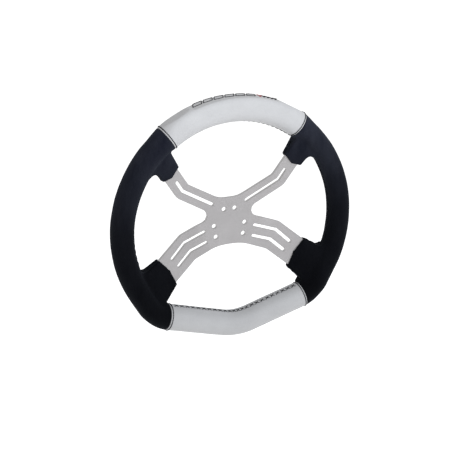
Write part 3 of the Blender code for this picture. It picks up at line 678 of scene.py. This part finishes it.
def thread_mesh(name, strands, radius):
    """One mesh of round threads, each along its own points, with closed ends."""
    points, faces = [], []
    for strand in strands:
        strand = np.asarray(strand, float)
        way = np.gradient(strand, axis=0)
        way /= np.linalg.norm(way, axis=1, keepdims=True)
        helper = np.eye(3)[np.abs(way).max(axis=0).argmin()]
        across = np.cross(way, helper)
        across /= np.linalg.norm(across, axis=1, keepdims=True)
        over = np.cross(way, across)
        base = len(points)
        ends = np.ones(len(strand))
        ends[[0, -1]] = THREAD_END
        for i in range(len(strand)):
            for k in range(THREAD_SIDES):
                turn = 2 * math.pi * k / THREAD_SIDES
                offset = across[i] * math.cos(turn) + over[i] * math.sin(turn)
                points.append(strand[i] + offset * radius * ends[i])
        quads = grid_faces(len(strand), THREAD_SIDES, True) + base
        faces += quads.tolist()
        faces.append(list(range(base + THREAD_SIDES - 1, base - 1, -1)))
        last = base + (len(strand) - 1) * THREAD_SIDES
        faces.append(list(range(last, last + THREAD_SIDES)))
    return mesh_object(name, np.array(points), faces)


def seam_point(distance, y):
    """A point on the inner side of a silver cover, at a height y off the seam."""
    _, axial = half_sizes(distance)
    angle = math.pi - np.arcsin(np.clip(y / axial, -1, 1))
    return surface_point(distance, angle)


def lace_lift(side):
    """Heights along one step of a lace, with the strand of side 1 on top of the other."""
    arch = np.sin(LACE_SHARE * math.pi)
    return (LACE_RAISE + LACE_OVER * side) * arch - LACE_DIP * (1 - arch)


def cover_lacing(start, end, seam_shift):
    """Cross lacing over the inner seam: two strands that cross at each step."""
    strands = []
    count = int((end - start - LACE_MARGIN) / LACE_PITCH)
    first = (start + end) / 2 - count * LACE_PITCH / 2
    for i in range(count):
        for side in (-1, 1):
            distance = first + (i + LACE_SHARE) * LACE_PITCH
            y = seam_shift + side * LACE_HALF_WIDTH * np.cos(LACE_SHARE * math.pi)
            base = seam_point(distance, y)
            strands.append(base + outward_from(base, distance) * lace_lift(side)[:, None])
    return strands


def joint_stitches(distance):
    """A row of short stitches round the cover, next to its joint."""
    radial, axial = half_sizes(distance)
    root = math.sqrt((3 * radial + axial) * (radial + 3 * axial))
    around = math.pi * (3 * (radial + axial) - root)
    pitch = STITCH_LENGTH + STITCH_GAP
    count = round(float(around / pitch))
    fill = STITCH_LENGTH / pitch
    share = np.linspace(0, 1, 7)
    strands = []
    for i in range(count):
        angle = 2 * math.pi * (i + fill * share) / count
        lift = STITCH_RAISE * np.sin(share * math.pi) - STITCH_DIP
        strands.append(surface_point(np.full(len(share), distance), angle, lift))
    return strands


def run_along(path):
    """Length from the start of a path to each of its points."""
    return np.concatenate(([0.0], np.cumsum(np.linalg.norm(np.diff(path, axis=0), axis=1))))


def dashes(points, closed):
    """Cuts a line of points (distance, y) on the crown into stitches that lie on it."""
    points = np.array(points, float)
    if closed:
        points = np.vstack((points, points[:1]))
    run = run_along(points)
    count = max(1, round(run[-1] / DASH_LENGTH))
    share = np.linspace(0, 1, 5)
    lift = MOTIF_RAISE + DASH_RAISE * np.sin(share * math.pi)
    strands = []
    for i in range(count):
        where = (i + (1 - DASH_FILL) / 2 + DASH_FILL * share) / count * run[-1]
        distance = np.interp(where, run, points[:, 0])
        y = np.interp(where, run, points[:, 1])
        centre, outward = station(distance)
        flat = centre + outward * (outer_limit(distance, y) + lift)[:, None]
        strands.append(np.stack((flat[:, 0], RIM_Y + y, flat[:, 1]), -1))
    return strands


def crown_motif():
    """Strands of the embroidered band: the black ones, and those of the first, red chevron."""
    low, high = MOTIF_MIDDLE_Y - MOTIF_HALF_HEIGHT, MOTIF_MIDDLE_Y + MOTIF_HALF_HEIGHT
    bars = []
    for i in range(BAR_COUNT):
        left = BAR_START + i * BAR_PITCH
        right = left + BAR_WIDTH
        top = ((right + MOTIF_SLANT, high), (left + MOTIF_SLANT, high))
        bars += dashes(((left, low), (right, low), *top), True)
    chevrons = []
    for i in range(CHEVRON_COUNT):
        rows = []
        for row in CHEVRON_ROWS:
            foot = CHEVRON_START + i * CHEVRON_PITCH + row
            rows += dashes(((foot, low), (foot + MOTIF_SLANT, MOTIF_MIDDLE_Y), (foot, high)), False)
        chevrons.append(rows)
    return bars + sum(chevrons[1:], []), chevrons[0]


def inner_side(distance):
    """Points (x, z) of the padding's inner side."""
    centre, outward = station(distance)
    radial, _ = half_sizes(distance)
    return centre - outward * radial[:, None]


def side_seam_path():
    """Points of the right grip's seam along its inner side, between the shoulders."""
    sample = np.linspace(TOP_END, BOTTOM_END, 2001)
    height = inner_side(sample)[:, 1]
    laced = sample[(height > SIDE_SEAM_Z[0]) & (height < SIDE_SEAM_Z[1])]
    flat = inner_side(np.arange(laced[0], laced[-1], PATH_STEP))
    return np.stack((flat[:, 0], np.full(len(flat), RIM_Y), flat[:, 1]), -1)


def shoulder_seam_path(edge, fillet):
    """Points of the seam round a shoulder's edge, on the right side."""
    path = np.array(edge + fillet) * MM
    run = run_along(path)
    where = np.arange(0, run[-1], PATH_STEP)
    x = np.interp(where, run, path[:, 0])
    z = np.interp(where, run, path[:, 1])
    return np.stack((x, dish(x, z) - PLATE_THICKNESS / 2, z), -1)


def stretches_beside(path, arm):
    """The stretches of a path that are clear of an arm and hold two steps of lacing or more."""
    clear = np.abs(across_arm(path[:, 0], path[:, 2], arm)) > arm[2] / 2 * MM + ARM_SEAM_GAP
    groups = np.split(np.arange(len(path)), np.where(np.diff(clear.astype(int)))[0] + 1)
    long_enough = [group for group in groups if len(group) * PATH_STEP > 2 * LACE_PITCH]
    return [path[group] for group in long_enough if clear[group[0]]]


def grip_lacing():
    """Lacing of the right grip: along its inner side and round the edges of its shoulders."""
    paths = [side_seam_path()]
    shoulders = ((UPPER_EDGE, UPPER_FILLET), (LOWER_EDGE, LOWER_FILLET))
    for (edge, fillet), arm in zip(shoulders, ARMS):
        paths += stretches_beside(shoulder_seam_path(edge, fillet), arm)
    strands = []
    for path in paths:
        run = run_along(path)
        count = int(run[-1] / LACE_PITCH)
        for i in range(count):
            where = (i + LACE_SHARE) / count * run[-1]
            middle = np.stack([np.interp(where, run, path[:, n]) for n in range(3)], -1)
            for side in (-1, 1):
                base = middle.copy()
                base[:, 1] += side * GRIP_LACE_HALF_WIDTH * np.cos(LACE_SHARE * math.pi)
                base = settle(base, grip_field, 6)
                _, slope = field_slope(base, grip_field, 0.1 * MM)
                slope /= np.maximum(np.linalg.norm(slope, axis=1, keepdims=True), 1e-9)
                strands.append(base + slope * lace_lift(side)[:, None])
    return strands


# ---- materials ----


def new_material(name, **constants):
    """A Principled material, with the values that are the same all over it."""
    made = bpy.data.materials.new(name)
    made.use_nodes = True
    shader = made.node_tree.nodes["Principled BSDF"]
    for key, value in constants.items():
        shader.inputs[key.replace("_", " ")].default_value = value
    return made, made.node_tree, shader


def node(tree, kind, **values):
    """A shader node, with values for its sockets and settings by name."""
    made = tree.nodes.new(kind)
    for key, value in values.items():
        if key in made.inputs.keys():
            made.inputs[key].default_value = value
        else:
            setattr(made, key, value)
    return made


def coordinates(tree, scale=(1, 1, 1)):
    place = node(tree, "ShaderNodeTexCoord")
    mapping = node(tree, "ShaderNodeMapping", Scale=scale)
    tree.links.new(place.outputs["Object"], mapping.inputs["Vector"])
    return mapping.outputs["Vector"]


def noise_node(tree, vector, scale, detail=4.0, roughness=0.55):
    made = node(tree, "ShaderNodeTexNoise", Scale=scale, Detail=detail, Roughness=roughness)
    tree.links.new(vector, made.inputs["Vector"])
    return made.outputs["Fac"]


def ramp(tree, value, stops):
    """A colour ramp. A stop is a position with a grey level or with (red, green, blue)."""
    made = node(tree, "ShaderNodeValToRGB")
    elements = made.color_ramp.elements
    while len(elements) < len(stops):
        elements.new(0.5)
    for element, (position, colour) in zip(elements, stops):
        element.position = position
        element.color = (*(colour if isinstance(colour, tuple) else (colour,) * 3), 1.0)
    tree.links.new(value, made.inputs["Fac"])
    return made.outputs["Color"]


def between(tree, value, low, high, colours):
    """A ramp from the first of two colours or levels to the second."""
    return ramp(tree, value, ((low, colours[0]), (high, colours[1])))


def multiplied(tree, colour, other, factor=1.0):
    """A colour times another, as strongly as the factor says."""
    mix = node(tree, "ShaderNodeMix", data_type="RGBA", blend_type="MULTIPLY", Factor=factor)
    tree.links.new(colour, mix.inputs[6])
    tree.links.new(other, mix.inputs[7])
    return mix.outputs[2]


def part_of(tree, output, axis):
    """One axis of the object coordinates or of the object's normal."""
    place = node(tree, "ShaderNodeTexCoord")
    split = node(tree, "ShaderNodeSeparateXYZ")
    tree.links.new(place.outputs[output], split.inputs[0])
    return split.outputs[axis]


def painted_light_by_height(tree, colour, stops):
    """Paints light and shade into a colour, from the bottom of the rim to its top."""
    level = node(tree, "ShaderNodeMapRange")
    level.inputs["From Min"].default_value, level.inputs["From Max"].default_value = PAINTED_LIGHT_Z
    tree.links.new(part_of(tree, "Object", "Z"), level.inputs["Value"])
    return multiplied(tree, colour, ramp(tree, level.outputs["Result"], stops))


def bump(tree, shader, layers):
    """Chains height layers (value, strength, distance) into the shader's normal."""
    previous = None
    for value, strength, distance in layers:
        made = node(tree, "ShaderNodeBump", Strength=strength, Distance=distance)
        tree.links.new(value, made.inputs["Height"])
        if previous is not None:
            tree.links.new(previous, made.inputs["Normal"])
        previous = made.outputs["Normal"]
    tree.links.new(previous, shader.inputs["Normal"])


def surface(tree, shader, colour, roughness):
    tree.links.new(colour, shader.inputs["Base Color"])
    tree.links.new(roughness, shader.inputs["Roughness"])


def suede_material():
    """Napped suede: soft patches, short fibres, and the look of brushing along the grip."""
    made, tree, shader = new_material(
        "black_suede", Metallic=0.0, Specular_IOR_Level=0.035,
        Sheen_Weight=0.032, Sheen_Roughness=0.5, Sheen_Tint=SUEDE_SHEEN,
    )
    brushed = coordinates(tree, (1.0, 1.0, 0.35))
    patches = noise_node(tree, brushed, 38.0, 5.0, 0.6)
    fibres = noise_node(tree, coordinates(tree), 1500.0, 3.0, 0.7)
    nap = noise_node(tree, brushed, 420.0, 4.0, 0.65)
    colour = between(tree, patches, 0.30, 0.70, SUEDE)
    colour = multiplied(tree, colour, between(tree, fibres, 0.35, 0.70, (0.45, 1.3)), 0.55)
    # painted light and shade: the suede is darkened towards the bottom of the rim and lightened
    # towards its top
    colour = painted_light_by_height(tree, colour, SUEDE_PAINTED_LIGHT)
    surface(tree, shader, colour, between(tree, nap, 0.3, 0.7, (0.78, 0.97)))
    bump(tree, shader, [(nap, 0.35, 0.0005), (fibres, 0.45, 0.00018)])
    return made


def leather_grain(tree, place):
    """Small cells with wobbly edges, 0 in the gaps and 1 on the cells."""
    shifted = node(tree, "ShaderNodeVectorMath", operation="MULTIPLY_ADD")
    shifted.inputs[1].default_value = (0.0006, 0.0006, 0.0006)
    tree.links.new(noise_node(tree, place, 500.0, 2.0), shifted.inputs[0])
    tree.links.new(place, shifted.inputs[2])
    cells = node(tree, "ShaderNodeTexVoronoi", feature="DISTANCE_TO_EDGE", Scale=900.0)
    tree.links.new(shifted.outputs[0], cells.inputs["Vector"])
    return between(tree, cells.outputs["Distance"], 0.0, 0.22, (0.0, 1.0))


def leather_material():
    """Silver leather: a fine grain, pores, light creases, and a soft change of tone."""
    made, tree, shader = new_material(
        "silver_leather", Metallic=0.0, Specular_IOR_Level=0.30, Sheen_Weight=0.05,
    )
    place = coordinates(tree)
    grain = leather_grain(tree, place)
    pores = noise_node(tree, place, 1800.0, 2.0, 0.6)
    soft = noise_node(tree, place, 26.0, 4.0, 0.6)
    creases = noise_node(tree, coordinates(tree, (1.0, 0.4, 1.0)), 160.0, 5.0, 0.7)
    colour = multiplied(tree, between(tree, soft, 0.25, 0.75, LEATHER), grain, 0.10)
    # painted shade: the leather is darkened towards the bottom of the rim
    colour = painted_light_by_height(tree, colour, LEATHER_PAINTED_LIGHT)
    surface(tree, shader, colour, between(tree, soft, 0.3, 0.7, (0.50, 0.62)))
    bump(tree, shader, [(creases, 0.10, 0.0006), (grain, 0.16, 0.00012), (pores, 0.08, 0.00006)])
    return made


def aluminium_material():
    """Satin aluminium, with painted light on its cut edges: a lighter colour there than on its
    faces.
    """
    made, tree, shader = new_material("satin_aluminium", Metallic=1.0)
    place = coordinates(tree)
    blasted = noise_node(tree, place, 2600.0, 2.0, 0.7)
    lines = noise_node(tree, coordinates(tree, (0.06, 1.0, 1.0)), 900.0, 3.0, 0.7)
    clouds = noise_node(tree, place, 30.0, 4.0, 0.6)
    flatness = node(tree, "ShaderNodeMath", operation="ABSOLUTE")
    tree.links.new(part_of(tree, "Normal", "Y"), flatness.inputs[0])
    # painted light: side walls, told apart by their normal, get the lighter edge colour
    face_share_without_painted_light = between(tree, flatness.outputs[0], 0.3, 0.8, (0.0, 1.0))
    mix = node(tree, "ShaderNodeMix", data_type="RGBA")
    mix.inputs[6].default_value = PLATE_EDGE_PAINTED_LIGHT
    tree.links.new(face_share_without_painted_light, mix.inputs["Factor"])
    tree.links.new(between(tree, clouds, 0.25, 0.75, PLATE), mix.inputs[7])
    surface(tree, shader, mix.outputs[2], between(tree, lines, 0.2, 0.8, (0.36, 0.50)))
    bump(tree, shader, [(lines, 0.08, 0.0001), (blasted, 0.12, 0.00005)])
    return made


def hidden_metal_material(name, level, roughness):
    """Drawn metal for the pieces inside the padding."""
    made, tree, shader = new_material(name, Metallic=1.0)
    scratches = noise_node(tree, coordinates(tree, (1.0, 0.15, 1.0)), 700.0, 3.0, 0.7)
    clouds = noise_node(tree, coordinates(tree), 60.0, 3.0, 0.6)
    colour = between(tree, clouds, 0.3, 0.7, (level * 0.9, level * 1.08))
    rough = between(tree, scratches, 0.3, 0.7, (roughness - 0.06, roughness + 0.08))
    surface(tree, shader, colour, rough)
    bump(tree, shader, [(scratches, 0.15, 0.0001)])
    return made


def thread_material(name, colours):
    """Waxed, twisted thread."""
    made, tree, shader = new_material(name, Metallic=0.0, Specular_IOR_Level=0.04)
    place = coordinates(tree)
    twist = node(
        tree, "ShaderNodeTexWave", wave_type="BANDS", bands_direction="DIAGONAL",
        Scale=900.0, Distortion=2.0,
    )
    tree.links.new(place, twist.inputs["Vector"])
    fuzz = noise_node(tree, place, 2500.0, 3.0, 0.7)
    colour = between(tree, twist.outputs["Fac"], 0.2, 0.9, colours)
    surface(tree, shader, colour, between(tree, fuzz, 0.3, 0.7, (0.5, 0.75)))
    bump(tree, shader, [(twist.outputs["Fac"], 0.5, 0.0002), (fuzz, 0.3, 0.0001)])
    return made


def paint(obj, made):
    obj.data.materials.clear()
    obj.data.materials.append(made)


# ---- building the pieces ----


def place_piece(obj, made, slot, *nodes):
    paint(obj, made)
    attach(obj, "root")
    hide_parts(*nodes)
    return obj


def build_covers(leather):
    top = cover("top_leather", -TOP_END, TOP_END, TOP_SEAM_SHIFT, 1.7)
    place_piece(top, leather, "silver_leather", "top_cover", "rim_foam")
    far_end = 2 * HALF_LENGTH - BOTTOM_END
    bottom = cover("bottom_leather", BOTTOM_END, far_end, BOTTOM_SEAM_SHIFT, 8.2)
    place_piece(bottom, leather, "silver_leather", "bottom_cover", "rim_foam")


def build_grips(suede):
    points, faces = grip_surface()
    for hand, side, seed in (("right", 1, 3.1), ("left", -1, 6.4)):
        piece = grip(f"suede_grip_{hand}", side, points, faces, seed)
        place_piece(piece, suede, "black_suede", f"grip_cover_{hand}", "rim_foam")


def build_threads(black, red):
    strands = cover_lacing(-TOP_END, TOP_END, TOP_SEAM_SHIFT)
    top = thread_mesh("lacing_over_top_seam", strands, LACE_RADIUS)
    place_piece(top, black, "black_thread", "lacing_top")
    strands = cover_lacing(BOTTOM_END, 2 * HALF_LENGTH - BOTTOM_END, BOTTOM_SEAM_SHIFT)
    bottom = thread_mesh("lacing_over_bottom_seam", strands, LACE_RADIUS)
    place_piece(bottom, black, "black_thread", "lacing_bottom")
    strands = grip_lacing()
    rows = (("upper", TOP_END - STITCH_SETBACK), ("lower", BOTTOM_END + STITCH_SETBACK))
    for hand, side in (("right", 1), ("left", -1)):
        mirrored = [strand * (side, 1, 1) for strand in strands]
        piece = thread_mesh(f"lacing_over_{hand}_grip", mirrored, LACE_RADIUS)
        place_piece(piece, black, "black_thread", f"lacing_grip_{hand}")
        for row, distance in rows:
            stitches = joint_stitches(side * distance)
            ring = thread_mesh(f"stitches_{row}_{hand}", stitches, STITCH_RADIUS)
            place_piece(ring, black, "black_thread", f"joint_stitch_{row}_{hand}")
    black_strands, red_strands = crown_motif()
    bars = thread_mesh("crown_bars", black_strands, MOTIF_THREAD_RADIUS)
    place_piece(bars, black, "black_thread", "top_motif")
    chevrons = thread_mesh("crown_chevrons", red_strands, MOTIF_THREAD_RADIUS)
    place_piece(chevrons, red, "black_thread", "top_motif")


def finish_metal(aluminium, core_metal, rivet_metal):
    for name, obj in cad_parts.items():
        if name == "spoke_plate":
            paint(obj, aluminium)
        elif name.startswith("core_tab") or name == "rim_core_ring":
            paint(obj, core_metal)
        elif name.startswith("rivet"):
            paint(obj, rivet_metal)


# ---- studio ----


def studio():
    """A pale floor well below the wheel, a white backdrop and soft lights."""
    low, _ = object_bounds()
    bpy.ops.mesh.primitive_plane_add(size=FLOOR_SIZE, location=(0, 0, low[2] - FLOOR_DROP))
    floor = bpy.context.object
    floor.name = "studio_floor"
    made, tree, shader = new_material(
        "pale_floor", Roughness=0.9, Specular_IOR_Level=0.1,
        Emission_Color=(1.0, 1.0, 1.0, 1.0), Emission_Strength=FLOOR_GLOW,
    )
    shade = between(tree, noise_node(tree, coordinates(tree), 2.0, 2.0), 0.0, 1.0, (0.91, 0.94))
    tree.links.new(shade, shader.inputs["Base Color"])
    paint(floor, made)

    world = bpy.data.worlds.new("studio_world")
    bpy.context.scene.world = world
    world.use_nodes = True
    backdrop = world.node_tree.nodes["Background"]
    backdrop.inputs["Color"].default_value = (1.0, 1.0, 1.0, 1.0)
    backdrop.inputs["Strength"].default_value = WORLD_STRENGTH

    for name, place, size, power in LIGHTS:
        light = bpy.data.lights.new(name, "AREA")
        light.shape = "DISK"
        light.size = size
        light.energy = power
        light.color = LIGHT_COLOUR
        lamp = bpy.data.objects.new(name, light)
        lamp.location = place
        lamp.rotation_euler = (-Vector(place)).to_track_quat("-Z", "Y").to_euler()
        bpy.context.scene.collection.objects.link(lamp)


def camera():
    back = Vector((
        -math.sin(CAMERA_AZIMUTH) * math.cos(CAMERA_ELEVATION),
        -math.cos(CAMERA_AZIMUTH) * math.cos(CAMERA_ELEVATION),
        math.sin(CAMERA_ELEVATION),
    ))
    level = (-back).cross(Vector((0, 0, 1))).normalized()
    above = level.cross(-back)
    x_axis = level * math.cos(CAMERA_ROLL) + above * math.sin(CAMERA_ROLL)
    y_axis = above * math.cos(CAMERA_ROLL) - level * math.sin(CAMERA_ROLL)
    data = bpy.data.cameras.new("photo_camera")
    data.sensor_width = CAMERA_SENSOR
    data.lens = CAMERA_LENS
    data.shift_x, data.shift_y = CAMERA_SHIFT
    data.clip_end = 200.0
    view = bpy.data.objects.new("photo_camera", data)
    turn = Matrix((x_axis, y_axis, back)).transposed()
    target = Vector((0.0, -PLATE_THICKNESS, 0.0))
    view.matrix_world = Matrix.Translation(target + back * CAMERA_DISTANCE) @ turn.to_4x4()
    bpy.context.scene.collection.objects.link(view)
    bpy.context.scene.camera = view


camera()
build_covers(leather_material())
build_grips(suede_material())
build_threads(
    thread_material("black_thread", BLACK_THREAD),
    thread_material("red_thread", RED_THREAD),
)
finish_metal(
    aluminium_material(),
    hidden_metal_material("core_aluminium", 0.42, 0.45),
    hidden_metal_material("rivet_metal", 0.60, 0.35),
)
studio()
bpy.context.scene.view_settings.view_transform = "Standard"
